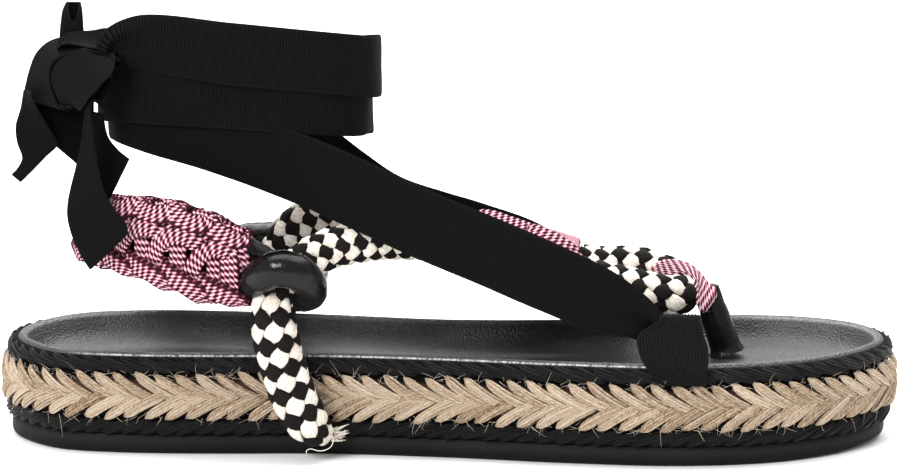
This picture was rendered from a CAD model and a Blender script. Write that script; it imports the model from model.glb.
"""Visual model of a right-foot thong sandal: a flat sole wrapped in three braids, a leather footbed, a
chequered rope over the instep, leather rings, a knotted heel band, and ribbon ties that end in a bow.

+X points to the toe, -Y is the outer side and +Z is up. Sizes are in millimetres until a mesh is made.
"""

import math
from functools import partialmethod

import bpy
import numpy as np
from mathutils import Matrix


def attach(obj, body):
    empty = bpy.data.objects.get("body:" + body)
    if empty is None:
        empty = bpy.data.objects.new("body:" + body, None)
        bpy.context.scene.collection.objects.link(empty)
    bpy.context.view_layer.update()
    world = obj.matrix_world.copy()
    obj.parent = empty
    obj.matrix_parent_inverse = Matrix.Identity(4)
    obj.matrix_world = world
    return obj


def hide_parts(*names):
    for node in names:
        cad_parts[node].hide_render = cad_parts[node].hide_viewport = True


M = 0.001
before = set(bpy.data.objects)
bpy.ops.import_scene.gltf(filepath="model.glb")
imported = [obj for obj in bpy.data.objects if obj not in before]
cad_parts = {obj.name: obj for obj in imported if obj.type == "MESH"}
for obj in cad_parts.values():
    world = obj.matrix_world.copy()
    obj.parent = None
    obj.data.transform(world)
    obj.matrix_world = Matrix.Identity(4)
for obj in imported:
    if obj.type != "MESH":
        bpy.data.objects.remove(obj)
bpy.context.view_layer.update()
rng = np.random.default_rng(7)

# Camera
VIEW_TARGET = (0.0, 0.0, 60.7)
VIEW_AZIMUTH = 3.0
VIEW_ELEVATION = 11.2
VIEW_DISTANCE = 1600.0
LENS = 213.8
SENSOR = 36.0

# Floor, and lights, in metres: name, place, size, power; all are turned to one point
FLOOR_HALF = 6.0
LIT_POINT = (0.0, 0.0, 0.04)
LIGHTS = [
    ("top_light", (0.0, 0.1, 0.9), (1.2, 0.7), 13.0),
    ("front_light", (-0.5, -0.9, 0.7), (0.34, 0.28), 10.0),
    ("rear_light", (0.1, 0.75, 0.8), (1.3, 0.5), 12.0),
]

# Sole outline, every 15 degrees from the heel: outer side, inner side, at x = -HALF_LENGTH * cos(angle)
HALF_LENGTH = 134.0
OUTLINE = [
    (2.0, -2.0), (17.8, 14.8), (31.6, 28.9), (36.0, 34.4), (36.0, 34.2), (34.4, 30.2), (37.2, 25.4),
    (42.3, 27.4), (44.5, 34.4), (39.6, 36.8), (27.8, 31.8), (11.8, 20.2), (-4.0, 4.0),
]
# Points that the outline is read at, and faces round each layer
OUTLINE_POINTS, RIM_CELLS = 720, 480
# The toe's rise, how much further back the heel's foot reaches than its rim, and where along X both begin
TOE_SPRING, HEEL_REACH, END_START = 1.5, 2.2, 96.0
# Heights at which the rise and the reach have faded out
OUTSOLE_TOP, RIM_HEIGHT = 6.1, 30.0

# Sections of the sole's layers: inset from the outline, height
OUTSOLE = [
    (12, 0.5), (11.6, 0), (5.6, 0), (4.6, 0.3), (3.9, 0.9), (3.6, 1.8), (3.5, 3), (3.5, 4.2), (3.6, 5.2),
    (3.9, 5.9), (4.6, 6.1), (9, 6.1),
]
FOOTBED = [
    (5, 25), (4.9, 25.9), (4, 26.3), (3.7, 27.2), (3.7, 28.4), (4.1, 29.7), (4.8, 30.4), (5.6, 30.6),
    (6.4, 30.1), (7.1, 29), (7.9, 27.6), (8.8, 26), (10, 24.6), (11.8, 23.5), (15, 22.6), (22, 22.2),
]
FOOTBED_UNDERSIDE = 19.2
JUTE_BACKING = [(4.7, 11.4), (3.0, 11.4), (2.3, 13.4), (2.9, 18.5), (2.3, 23.0), (3.0, 25.0), (4.7, 25.0)]
# Where the footbed's worn line and its crest run, by distance along its section
RIM_LINE, CREST_LINE = 5.6, 8.4
# Keeps the grain of the flat faces away from the rim's
FLAT_GRAIN = 300.0
# Tread: inset of the ribs' ends, the plain stretch at toe and heel, distance from rib to rib, a rib's width
TREAD_INSET, TREAD_MARGIN, TREAD_PITCH, TREAD_WIDTH = 13.0, 18.0, 5.0, 2.6

# Plaits: distance from strand to strand, and how far round the sole a strand reaches
JUTE_PITCH, JUTE_REACH = 6.1, 13.6
BLACK_PITCH, BLACK_REACH = 5.6, 11.0
# Heights of the jute strands' tips and of where they dive: from above, from below
JUTE_TIPS, JUTE_MIDDLE = (25.0, 11.2), (17.1, 18.9)
# Yarns in a strand, and how much deeper than its middle it dives
YARNS, DIVE = 4, 0.9
# Strands: width, thickness, how much their shades differ, rings; the jute's also lie at one inset
JUTE_LEAF = {"inset": 1.4, "wide": 3.0, "thick": 2.5, "spread": 0.18, "rings": 10}
BLACK_LEAF = {"wide": 2.7, "thick": 2.0, "spread": 0.25, "rings": 9}
# Loose fibres stay above this height
LOWEST_HAIR = 1.0

# Rope: x, y, z, radius
ROPE = [
    (-33.4, -36.4, 7.6, 2.6), (-36.4, -38.4, 8.8, 4.8), (-39.6, -40.3, 12, 6.2), (-42.6, -41.2, 17.2, 6.6),
    (-45.2, -41.6, 23.9, 6.6), (-47.3, -41.7, 31, 6.6), (-48.9, -41.6, 37.6, 6.6), (-49.8, -41.1, 43.4, 6.5),
    (-50, -39.8, 48, 5.8), (-48.6, -37.9, 51.4, 5.4), (-46.6, -35, 54.6, 5.2), (-43.4, -32, 57.4, 5.4),
    (-38.8, -29, 59.6, 6), (-33.4, -26.3, 61.7, 6), (-26.6, -23, 62.6, 6), (-19.8, -19, 62.8, 6),
    (-12.6, -14.5, 62.2, 6), (-5.4, -10, 61, 6), (1.8, -6, 59.4, 6), (10, -2.2, 57.2, 6), (21, 0.5, 53.8, 6),
    (33, 2.2, 49.8, 6), (45, 3, 46.6, 6), (55, 3.3, 44.4, 6), (61.6, 3.5, 42.8, 6), (67.2, 5.3, 41.7, 6),
    (69.8, 9.8, 42.6, 5.8), (67.8, 14.1, 45, 5.6), (61.4, 16.3, 47.1, 5.7), (55, 16.4, 48.5, 6),
    (44.6, 16, 48.4, 6), (32.5, 15.4, 50.4, 6), (20.4, 15.2, 53.7, 6), (8.2, 16.4, 56.7, 6),
    (0.6, 17.8, 58.2, 6), (-10.2, 20.2, 60, 6), (-22.5, 23, 61.8, 6), (-33.3, 25.2, 62.4, 6),
    (-40, 27, 61.6, 6), (-46, 28.6, 59, 6), (-50.6, 30, 55.2, 5.8), (-53.6, 31.2, 50.8, 5.4),
    (-55.4, 32.6, 46.8, 5.2), (-56, 34.6, 41.6, 5.1), (-56.8, 37.6, 36.4, 5.4), (-56.8, 39.9, 30.6, 5.9),
    (-54.5, 40.1, 22.6, 6), (-51.6, 39.6, 15.6, 6), (-48.2, 38.2, 10.4, 6), (-44.4, 35.6, 7.5, 5),
    (-41, 33, 6.8, 3.6),
]
# Lead of the rope's strands: distance along it, length of one turn
ROPE_LEADS = [
    (0, 44), (55, 44), (75, 31.5), (150, 32), (185, 41), (205, 42), (225, 31.5), (300, 31.5), (325, 44),
    (420, 44),
]
ROPE_STRANDS = 6
STRAND_GAP = 2 * math.pi / ROPE_STRANDS
# On a rope of this radius: how deep the strands' middles lie, how far they weave in and out, half width
ROPE_RADIUS = 6.0
STRAND_DEPTH, STRAND_WEAVE, STRAND_HALF = 1.45, 0.75, 2.45
# Loose thread beside the rope's frayed outer end, and how far in the fray may go
THREAD = [
    (-32.6, -42.4, 9), (-32, -44.4, 7.6), (-32.6, -45.2, 6), (-34.4, -45.6, 5), (-36.4, -45.6, 4.8),
    (-38.6, -45.4, 5.3), (-39.8, -45.3, 4.7), (-39.8, -45.2, 3.8),
]
FRAY_INNERMOST = -34.8

# The leather rings and the toe post: x, y, z, radius
RING = [
    (-62.2, -36.6, 54, 4.4), (-59.4, -36.8, 53.2, 4.4), (-56.2, -39.8, 54, 4.7), (-52.2, -44.6, 57.2, 5.2),
    (-47.6, -47.2, 59.4, 5.5), (-42.4, -47, 58.6, 5.4), (-39, -43.6, 54.8, 5), (-38.8, -37.6, 50.8, 4.8),
    (-41.6, -31, 48.2, 4.8), (-46.6, -25.6, 48.2, 5), (-50.6, -23, 51.4, 5.1), (-53, -25, 56, 4.9),
    (-56.2, -30, 59.4, 4.7), (-59, -34.4, 61.8, 4.5), (-62, -36.6, 63.2, 4.2),
]
INNER_RING = [
    (-70, 35.2, 49.6, 4.2), (-66.4, 35.4, 51.8, 4.4), (-62, 38, 51.8, 4.6), (-57.2, 42.2, 50.8, 5),
    (-52.2, 44.8, 49.4, 5.3), (-47.4, 45, 47, 5.3), (-44.6, 41.8, 43.2, 5), (-44.8, 36, 39.4, 4.8),
    (-48.2, 29.4, 37.2, 4.8), (-53.4, 24.2, 37.4, 5), (-58.2, 22.2, 41, 5.1), (-62, 24, 46.4, 4.9),
    (-65, 28.6, 50.4, 4.6), (-69, 32.6, 50.4, 4.2),
]
POST = [
    (83, 11, 23.4, 4.9), (82.6, 11, 25, 4.7), (81.5, 11, 28.5, 4.6), (79.7, 11, 34, 4.4), (78.6, 11, 38, 4),
    (78.8, 11.2, 41.6, 2.8), (79.3, 11.4, 44.2, 1.2),
]

# Heel band: x, y, z of its middle line, size
HEEL_BAND = [
    (-57.6, -36.9, 57.4, 0.74), (-67, -36.6, 59.9, 0.92), (-73, -36.5, 61.6, 0.95), (-81, -35.2, 64.4, 0.9),
    (-92.4, -30.2, 65.8, 0.8), (-101.4, -21, 65.2, 0.7), (-107, -8.6, 63, 0.64), (-107.8, 4, 59.6, 0.62),
    (-103.6, 15.6, 55.8, 0.66), (-96, 24.8, 52.4, 0.72), (-87, 31, 49.8, 0.8), (-79, 34.1, 48.6, 0.88),
    (-75, 34.6, 48.2, 0.88), (-70.8, 34.6, 48.2, 0.8),
]
BAND_HALF_HEIGHT, BAND_HALF_THICKNESS = 13.6, 6.6
# Inside it, two leather cords one over the other: height from the middle, radius
CORE_HEIGHT, CORE_RADIUS = 5.6, 4.4
# The cord running along each face: height, distance outward
LONG_CORD = (7.4, 3.9)
# Distance from knot to knot, and x of the first whole one
KNOT_PITCH, KNOT_FIRST_X = 10.8, -66.4
# One knot of the heel band: rows of distance towards the ring, height above the band's middle, outward
KNOT_BAR = [(0, -9.6, 3.8), (-0.2, -6, 4.9), (0, -2, 5.2), (0.1, 2, 5), (0.2, 5.4, 4)]
KNOT_ARCH = [
    (-7.9, -10.2, 3.4), (-7.4, -7, 4.9), (-6.2, -2.4, 6), (-3.6, 2.4, 6.6), (0.4, 5.2, 6.8), (4, 5.4, 6.4),
    (6.4, 3, 5.6), (7.8, -0.4, 4.4),
]
KNOT_TOP = [
    (-5.6, 11.2, -3.6), (-4.6, 13.2, -0.8), (-2.8, 12.4, 2.8), (0.4, 10.7, 5), (4.4, 10.4, 5.6),
    (7.4, 11.4, 4.4), (9.4, 13, 1.2), (10.2, 12.4, -2.4),
]
KNOT_FOOT = [
    (-6.6, -5.4, 3), (-4.2, -7.4, 5), (-0.4, -8.8, 6.3), (3.4, -9.8, 6.4), (6.2, -11.6, 5), (7.6, -13.4, 1.8),
    (8.2, -13.2, -1.8),
]
KNOT_STRANDS = [(KNOT_BAR, 5.2), (KNOT_ARCH, 5.0), (KNOT_FOOT, 6.6), (KNOT_TOP, 5.9)]
# Cords that close the band beside the outer ring: distance along it, height, outward; then their width
BAND_END_CORDS = [
    ([(4.6, -13, 1), (4.6, -9, 5), (4.7, -3, 6.3), (4.9, 3, 6.3), (5.6, 7.4, 5.2)], 6),
    ([(8, 12, 3.6), (4.4, 10.4, 4.6), (1.9, 6.6, 5), (0.9, 1.6, 5.2), (1.2, -3.4, 4.6), (2.2, -7.6, 3)], 5),
]
CORD_WIDTH, CORD_THICKNESS = 5.6, 2.4
# Stitches of the cord; the slant is in stitches
STITCH_WIDTH, STITCH_LENGTH, STITCH_SLANT = 1.38, 1.85, -0.45

# Wraps of the instep knot round both runs of the rope: x at the top, x below, height over the rope's middle
WRAPS = [
    (10.6, 13.5, 7.4), (15.8, 18.2, 7.3), (21, 23, 7.3), (26.2, 28, 7.5), (31.2, 32.6, 7.5),
    (35.8, 36.4, 7.2),
]
# The rope under the wraps: x and height of its middle, then x, y and half width of both runs together
INSTEP_HEIGHT = ([10, 14, 21, 28, 33, 36.5], [56.7, 55.6, 53.7, 51.5, 50.0, 49.2])
INSTEP_MIDDLE = ([10, 36.5], [7.0, 9.1])
INSTEP_HALF = ([10, 21, 36.5], [9.2, 8.4, 7.6])
# The cord's two ends, laid over the wraps: x, y, z and the way across
KNOT_ENDS = [
    [(6.6, 5, 62.4, 0, 0.87, 0.5), (8.6, 2.6, 65.4, 0, 0.87, 0.5), (12, 1, 65.9, 0, 0.87, 0.5),
     (18, 0.8, 64.1, 0, 0.87, 0.5), (24, 1.6, 61.9, 0, 0.87, 0.5), (29, 4.4, 59.6, 0, 0.9, 0.43),
     (32, 8, 57.4, 0.2, 0.9, 0.4)],
    [(22.6, 0.6, 60.6, 0.1, 0.8, 0.6), (25, -2.2, 62, 0.1, 0.8, 0.6), (28, -3.8, 61.5, 0.1, 0.8, 0.6),
     (31.5, -4.4, 60, 0.1, 0.8, 0.6), (34.8, -4.2, 58, 0.2, 0.8, 0.56), (37, -3.4, 55.8, 0.4, 0.8, 0.45),
     (38, -2.2, 53.2, 0.6, 0.75, 0.3)],
]

# The toe cord's two edges: x, y, z and x, y, z
TOE_CORD = [
    (60.2, 9.6, 49.6, 61, 9.2, 46.6), (63, 10.8, 51.4, 64.8, 9.4, 46.8), (67, 11.5, 51.4, 70, 8, 47.8),
    (71.4, 12, 50, 73.2, 5.8, 45.8), (75.2, 11.4, 47, 73.6, 4.2, 42.8), (77.6, 10, 44.6, 74, 3.2, 40),
    (79.4, 9, 43.4, 75, 3.2, 37.2), (79.6, 8.6, 41.8, 75.8, 4.6, 36.8),
]
# Outer webbing tab: x, y, z, width
OUTER_LOOP = [
    (71, -43.9, 25.2, 12.8), (69.6, -44, 27.6, 15.6), (68.3, -44, 31.6, 18.8), (67.4, -43.6, 36.2, 20.6),
    (66.8, -42.6, 40, 19.2), (68.4, -41.4, 43.2, 14.2), (69.4, -39.4, 45, 12), (69, -37, 43.8, 12.4),
    (68.8, -36.8, 39, 13.4), (69, -37.2, 31.4, 14.4),
]
# x and y of both tabs' feet, and how far the inner one is turned to follow its edge
OUTER_LOOP_AT, INNER_LOOP_AT = (69.8, -43.9), (50.0, 31.8)
INNER_LOOP_SLOPE = 0.24

RIBBON_WIDTH, RIBBON_THICKNESS = 20.0, 0.9
# Gathered ribbon: share of its full width that the folds take up, and how deep a fold may be
GATHERED, DEEPEST_FOLD = 0.88, 1.9
# The ties up to the ankle: x, y, z, direction across x, y, z, width
OUTER_TIE = [
    (72.4, -39.5, 38.6, 0, 0, 1, 8), (66.2, -39.8, 39.8, 0.1, 0, 1, 8.2),
    (61.2, -40.2, 41.8, 0.3, 0, 1, 10.4), (56.4, -40.4, 44.8, 0.4, 0.1, 1, 13.6),
    (46, -40, 49.6, 0.4, 0.1, 1, 18.6), (32.4, -38, 55.2, 0.4, 0.1, 1, 20),
    (13.6, -35, 62.6, 0.4, 0.2, 1, 20), (-4.5, -32, 69.4, 0.4, 0.2, 1, 20), (-24, -28, 77.4, 0.4, 0.2, 1, 20),
    (-39, -25, 83.4, 0.4, 0.1, 1, 20),
]
INNER_TIE = [
    (54, 28.6, 36.4, 0, 0, 1, 8.5), (46.6, 26.8, 36.8, 0.1, 0, 1, 8.2), (42, 26, 38.4, 0.3, 0, 1, 9.5),
    (36, 26, 41.8, 0.4, 0, 1, 14), (24, 28.4, 48.8, 0.4, -0.1, 1, 20), (6, 31, 55.8, 0.3, -0.3, 1, 20),
    (-6, 31.4, 59.2, 0.4, -0.35, 1, 20), (-21, 30.8, 64.6, 0.5, -0.35, 1, 20),
    (-34, 30, 73.6, 0.5, -0.35, 1, 20), (-47, 26.2, 82.6, 0.4, -0.2, 1, 20),
]
# The ankle's oval, and how much further out each turn of the outer tie runs
ANKLE_CENTRE, ANKLE_HALF, ANKLE_ROUNDNESS = (-63.0, -4.0), (38.0, 17.7), 2.6
TURN_GROWTH = 2.4
# The outer tie's turns round it: angle (0 front, -90 outer side, -180 heel), height, width
OUTER_TURNS = [
    (-95, 93.4, 20), (-125, 98.4, 20), (-155, 100.6, 20), (-185, 100.2, 20), (-225, 98.4, 20),
    (-270, 97.4, 20), (-315, 98.6, 20), (-345, 100.8, 19.4), (-360, 102.4, 18.6), (-380, 102.6, 19.4),
    (-410, 104.2, 20), (-450, 106.6, 20), (-485, 107.4, 20), (-520, 106.8, 20), (-545, 105.6, 20),
    (-585, 105.4, 20), (-630, 106.6, 20), (-675, 109, 19.2), (-705, 111.4, 18.4), (-720, 112.5, 18.2),
    (-740, 113.8, 18.2), (-770, 116, 18.2), (-810, 119.4, 18.4), (-845, 122, 15.8),
]
OUTER_END = [(-97, -24.6, 120.8, 0.2, 0, 1, 11.4), (-99, -24.8, 115.2, 0.3, 0, 1, 8.6)]
# The inner tie's way round the heel to the knot: angle, height, distance outside the oval, width
INNER_TURNS = [
    (100, 93, 5.8, 20), (125, 101, 4.8, 20), (150, 107.2, 4.8, 17), (172, 110.6, 5.4, 13),
    (190, 111.8, 6.6, 10),
]
INNER_END = (-104.8, -18.6, 111.4, 0.1, 0, 1, 8.4)

# Bow: both edges of the ribbon, from the knot round the loop, back through the knot and down the long end
BOW_LOOP = [
    (-95, -20, 116.9, -94.7, -25, 117), (-100.5, -17, 118.8, -99.7, -27, 118.5),
    (-106.6, -15.4, 120.1, -105.1, -27.6, 120.1), (-110.5, -15, 122, -108.9, -28, 119.8),
    (-114.9, -15, 121.7, -112.4, -28, 118.6), (-118.8, -15, 120.1, -115.1, -28, 116.8),
    (-122.1, -15, 116.8, -116.2, -28, 114.1), (-124, -15, 112.5, -116.2, -28, 111.4),
    (-125, -15.4, 108.9, -115.4, -28, 108.3), (-125.4, -16, 105.8, -114.2, -28, 105.4),
    (-123.1, -16.4, 103.4, -112.8, -27.6, 103.3), (-117.8, -16.4, 102.4, -110.6, -26.4, 102.8),
    (-112, -17, 103.8, -108.2, -24, 103.6),
]
BOW_THROUGH = [
    (-105.8, -18.4, 110.9, -105.6, -20.4, 103.7), (-101.1, -20.2, 112, -101.1, -20.2, 104.9),
    (-98.3, -24.4, 111.7, -98.3, -24.4, 103.8), (-100.9, -27.4, 108.7, -99.4, -31, 102.9),
]
TAIL_MAIN = [
    (-105.2, -27.4, 105.1, -102.8, -32, 106.2), (-106.3, -31, 94.3, -102.2, -36, 95.7),
    (-108.1, -31, 86.7, -101.4, -38, 88.9), (-109.9, -31, 80.4, -100.1, -39, 82.8),
    (-111.1, -31, 75.4, -98.2, -40, 78.5), (-111.2, -32, 71, -95.5, -41, 74.8),
    (-109.7, -34, 66, -93, -42, 72.4), (-106.8, -37, 61.2, -92.1, -42.6, 70.6),
    (-103.5, -40, 57.1, -91.8, -43, 68.7),
]
# The loop's inner layer
BOW_INNER = [
    (-105, -16, 118.1, -103.8, -25, 118), (-110.1, -15.4, 120.1, -108.8, -26, 117.9),
    (-115.1, -15.4, 118.7, -112.8, -26, 115.8), (-119.3, -15.4, 114.3, -114.5, -26, 112.2),
    (-120.2, -15.4, 109.4, -113.9, -26, 108.9), (-118.2, -16, 105, -112.2, -25.6, 105.2),
]
# Upright folded end: x, y, z, width, depth
BOW_UP = [
    (-110.8, -17.4, 118.8, 7.6, 3.2), (-110.8, -17.4, 123.2, 7.3, 3.2), (-110.7, -17.4, 127.2, 6.7, 3.4),
    (-110.5, -17.4, 130.6, 5.9, 3.6), (-110.2, -17.4, 132.9, 4.4, 3.4),
]
# The knot's top wrap and front wrap, then the other ends
KNOT_OVER = [
    (-96.4, -20, 124.8, -96.4, -23, 117.8), (-100.2, -19.6, 125.6, -100, -25.4, 119.9),
    (-104, -19.8, 124.8, -103.2, -26.6, 120.5), (-108.4, -20, 124.4, -107.6, -27, 121.8),
    (-112, -20, 124.1, -111.1, -26.6, 122.4), (-114.4, -19.4, 122.3, -113.3, -25.4, 121.4),
    (-115.3, -18.4, 120, -114.3, -24, 119.6),
]
KNOT_WRAP = [
    (-101.9, -20.4, 120.7, -97.1, -21.6, 118.9), (-103.8, -24, 121.2, -97.2, -26.4, 118.9),
    (-107.5, -28, 120.2, -96.6, -30.4, 116.6), (-111.7, -29.6, 118.4, -97.6, -32.8, 114),
    (-114.4, -30.4, 116.2, -99.9, -33.6, 111.6), (-115.4, -30.6, 112.7, -102, -33.6, 109.3),
    (-114.8, -30.2, 108.8, -104.3, -32.4, 106.6), (-113.4, -28.6, 105.1, -106.4, -29.8, 103.5),
    (-112.4, -25.6, 103.4, -107.8, -26.6, 102.4),
]
TAIL_LEFT = [
    (-125.3, -19, 106.9, -121.7, -25, 107.3), (-126, -19.4, 101.1, -119.7, -24.6, 102),
    (-127.3, -20, 96.2, -117.1, -23.6, 96.3), (-127, -20.6, 91.4, -115, -22.4, 91),
    (-125.7, -20.6, 86.9, -118.6, -21.4, 87.1), (-127, -20.4, 83.9, -122.8, -20.8, 82.7),
    (-129.1, -20, 81.5, -126.1, -20.4, 79.4),
]
TAIL_UNDER = [
    (-124.3, -17, 105.6, -104.4, -17.6, 105.9), (-124.1, -17, 100.1, -104.3, -18.6, 101.2),
    (-122.3, -17, 95.1, -104.6, -19, 96.2), (-116.9, -17.2, 90.6, -104.8, -19.4, 91.7),
    (-112, -17.4, 86.4, -105.9, -19.4, 88.7), (-109.2, -17.6, 83.9, -107.3, -18.8, 85.3),
]
TAIL_REAR = [
    (-104.8, -22, 101, -100.9, -24, 100.8), (-104.9, -22.6, 91.4, -99.8, -22, 93.6),
    (-103.7, -26, 82.1, -97, -22, 89.9), (-100.1, -29.4, 73.5, -93.5, -23, 87.1),
]
# The knot's core
KNOT_CENTRE, KNOT_HALF = (-106.4, -24.4, 111.4), (5.4, 5.6, 7.8)


# ---- shapes

def unit(v):
    return v / np.maximum(np.linalg.norm(v, axis=-1, keepdims=True), 1e-9)


def circle(count):
    """Angles round a full turn, without the last."""
    return np.linspace(0, 2 * math.pi, count, endpoint=False)


def ahead(line):
    """Direction of a line at each of its points."""
    return unit(np.gradient(line, axis=0))


def squared(wave, power):
    """A sine or cosine flattened towards a square wave."""
    return np.sign(wave) * np.abs(wave) ** power


def blend(a, b, low, high, t):
    """From a to b as t goes from low to high."""
    return ((high - t) * a + (t - low) * b) / (high - low)


def lengths(points):
    """Distance along a line at each of its points."""
    steps = np.linalg.norm(np.diff(points[:, :3], axis=0), axis=1)
    return np.concatenate([[0.0], np.cumsum(steps)])


def smooth(rows, step):
    """Rows read every `step` along a Catmull-Rom curve through the given ones; x, y, z come first."""
    rows = np.array(rows, float)
    rows = np.vstack([2 * rows[0] - rows[1], rows, 2 * rows[-1] - rows[-2]])
    gaps = np.sqrt(np.linalg.norm(np.diff(rows[:, :3], axis=0), axis=1))
    knots = np.concatenate([[0.0], np.cumsum(gaps)])
    fine = []
    for i in range(1, len(rows) - 2):
        t0, t1, t2, t3 = knots[i - 1 : i + 3]
        p0, p1, p2, p3 = rows[i - 1 : i + 3]
        for t in np.linspace(t1, t2, 16, endpoint=False):
            a, b, c = blend(p0, p1, t0, t1, t), blend(p1, p2, t1, t2, t), blend(p2, p3, t2, t3, t)
            fine.append(blend(blend(a, b, t0, t2, t), blend(b, c, t1, t3, t), t1, t2, t))
    fine.append(rows[-2])
    fine = np.array(fine)
    along = lengths(fine)
    places = np.linspace(0.0, along[-1], max(3, round(along[-1] / step) + 1))
    return np.stack([np.interp(places, along, column) for column in fine.T], axis=1)


def axes(centre, hint):
    """Side and up at each point of a line, turned as little as possible along it."""
    tangent = ahead(centre)
    side = np.zeros_like(centre)
    last = np.array(hint, float)
    for i, t in enumerate(tangent):
        last = unit(last - t * np.dot(last, t))
        side[i] = last
    return side, np.cross(tangent, side)


def grain_map(along, across):
    """UV values for a grid, from its distances along its rings and across them."""
    return np.stack(np.broadcast_arrays(along, across), axis=-1)


def add_object(name, data):
    obj = bpy.data.objects.new(name, data)
    bpy.context.scene.collection.objects.link(obj)
    return obj


class Build:
    """Collects faces for one piece, with a map of millimetres along and across, and a shade."""

    def __init__(self):
        self.points, self.faces, self.uv, self.tone, self.slots = ([] for _ in range(5))
        self.count = 0

    def add_points(self, points):
        """Takes the points in, and gives the number of the first."""
        start = self.count
        self.points.append(points.reshape(-1, 3))
        self.count += len(self.points[-1])
        return start

    def face(self, corners, uv, tone=0.5, slot=0):
        self.faces.append(tuple(corners))
        self.uv += uv
        self.tone.append(tone)
        self.slots.append(slot)

    def grid(self, points, uv, tone=0.5, caps=True, slot=0):
        """points is (rings, count, 3), each ring closed; uv may have one more column, for the seam."""
        rings, count = points.shape[:2]
        start = self.add_points(points)
        seam = uv.shape[1] > count
        for r in range(rings - 1):
            low = start + r * count
            for i in range(count):
                j = (i + 1) % count
                k = i + 1 if seam else j
                corners = (low + i, low + j, low + count + j, low + count + i)
                self.face(corners, [uv[r, i], uv[r, k], uv[r + 1, k], uv[r + 1, i]], tone, slot)
        if caps:
            for r, order in ((0, range(count - 1, -1, -1)), (rings - 1, range(count))):
                self.face([start + r * count + i for i in order], [uv[r, i] for i in order], tone, slot)

    def piece(self, name, materials, replaces, sharp=None):
        """Makes the piece and says what it is; edges over `sharp` degrees stay sharp."""
        mesh = bpy.data.meshes.new(name)
        mesh.from_pydata((np.vstack(self.points) * M).tolist(), [], self.faces)
        layer = mesh.uv_layers.new(name="grain")
        layer.data.foreach_set("uv", np.array(self.uv, np.float32).ravel())
        shade = mesh.attributes.new("shade", "FLOAT", "FACE")
        shade.data.foreach_set("value", np.array(self.tone, np.float32))
        mesh.polygons.foreach_set("material_index", np.array(self.slots, np.int32))
        for material in materials:
            mesh.materials.append(material)
        mesh.shade_smooth()
        if sharp:
            mesh.set_sharp_from_angle(angle=math.radians(sharp))
        obj = add_object(name, mesh)
        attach(obj, "root")
        if replaces:
            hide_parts(*replaces)
        return obj


def tube(build, route, sides, hint=(0, 0, 1), tone=0.5, slot=0, shape=None, start=0.0):
    """A round tube through rows of x, y, z, radius; shape(along, angle) adds to its radius."""
    centre = route[:, :3]
    side, up = axes(centre, hint)
    along = lengths(centre) + start
    angle = circle(sides)
    radius = np.repeat(route[:, 3:4], sides, axis=1)
    if shape is not None:
        radius = radius + shape(along[:, None], angle[None, :])
    points = centre[:, None] + radius[..., None] * (
        side[:, None] * np.cos(angle)[None, :, None] + up[:, None] * np.sin(angle)[None, :, None]
    )
    turn = np.linspace(0, 2 * math.pi, sides + 1) * route[:, 3].mean()
    build.grid(points, grain_map(along[:, None], turn), tone=tone, slot=slot)


def strip(build, route, thickness, cells=12, full=None, lobes=0, pleats=0, wave=None, tone=0.5, start=0.0,
          square=True, bulge=0.0):
    """A flat strip through rows of x, y, z, across x, y, z, width. Where it is narrower than `full`, it is
    gathered in `pleats` folds; lobes are ridges along each face."""
    centre = route[:, :3]
    tangent = ahead(centre)
    across = route[:, 3:6]
    if square:
        across = across - tangent * np.sum(across * tangent, axis=1, keepdims=True)
    across = unit(across)
    normal = unit(np.cross(tangent, across))
    width = route[:, 6]
    u = np.linspace(-1, 1, cells + 1)
    offset = np.zeros((len(route), cells + 1))
    if pleats:
        slack = np.sqrt(np.clip((GATHERED * full / width) ** 2 - 1, 0, None))
        deep = np.clip(slack * width / (2 * math.pi * pleats) * 0.9, 0, DEEPEST_FOLD)
        offset += deep[:, None] * np.cos(math.pi * pleats * (u + 1))
    along = lengths(centre) + start
    if wave is not None:
        offset = offset + wave(along[:, None], u)
    offset = offset + bulge * (1 - u**2)
    # Even, but rounded off to a quarter of its thickness at its edges
    half = thickness / 2 * (np.sqrt(np.clip(1 - np.abs(u) ** 6, 0, 1)) * 0.75 + 0.25)
    if lobes:
        half = half * (0.78 + 0.22 * np.abs(np.sin(math.pi * lobes * (u + 1) / 2)) ** 0.7)
    middle = centre[:, None] + across[:, None] * ((width / 2)[:, None] * u)[..., None]
    front, back = (middle + normal[:, None] * (offset + sign * half)[..., None] for sign in (1, -1))
    points = np.concatenate([front, back[:, ::-1]], axis=1)
    reach = (full or width.max()) / 2
    build.grid(points, grain_map(along[:, None], np.concatenate([u, u[::-1]]) * reach), tone=tone)


def between(rows):
    """Rows for a strip, from its two edges."""
    rows = np.array(rows, float)
    one, other = rows[:, :3], rows[:, 3:]
    across = other - one
    return np.column_stack([(one + other) / 2, across, np.linalg.norm(across, axis=1)])


def outline():
    """Points of the sole's outline, their outward directions and the distance along it, from the heel."""
    side = [-outer for outer, _ in OUTLINE] + [inner for _, inner in OUTLINE[-2:0:-1]]
    count = len(side)
    points = []
    for i in range(OUTLINE_POINTS):
        place = i * count / OUTLINE_POINTS
        k, t = int(place), place - int(place)
        p0, p1, p2, p3 = (side[(k + j) % count] for j in (-1, 0, 1, 2))
        y = p1 + 0.5 * t * (p2 - p0 + t * (2 * p0 - 5 * p1 + 4 * p2 - p3 + t * (3 * (p1 - p2) + p3 - p0)))
        points.append((-HALF_LENGTH * math.cos(2 * math.pi * i / OUTLINE_POINTS), y))
    points = np.array(points)
    along = np.roll(points, -1, axis=0) - np.roll(points, 1, axis=0)
    outward = unit(np.stack([along[:, 1], -along[:, 0]], axis=1))
    points, outward = (np.vstack([rows, rows[:1]]) for rows in (points, outward))
    return points, outward, lengths(points)


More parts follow.
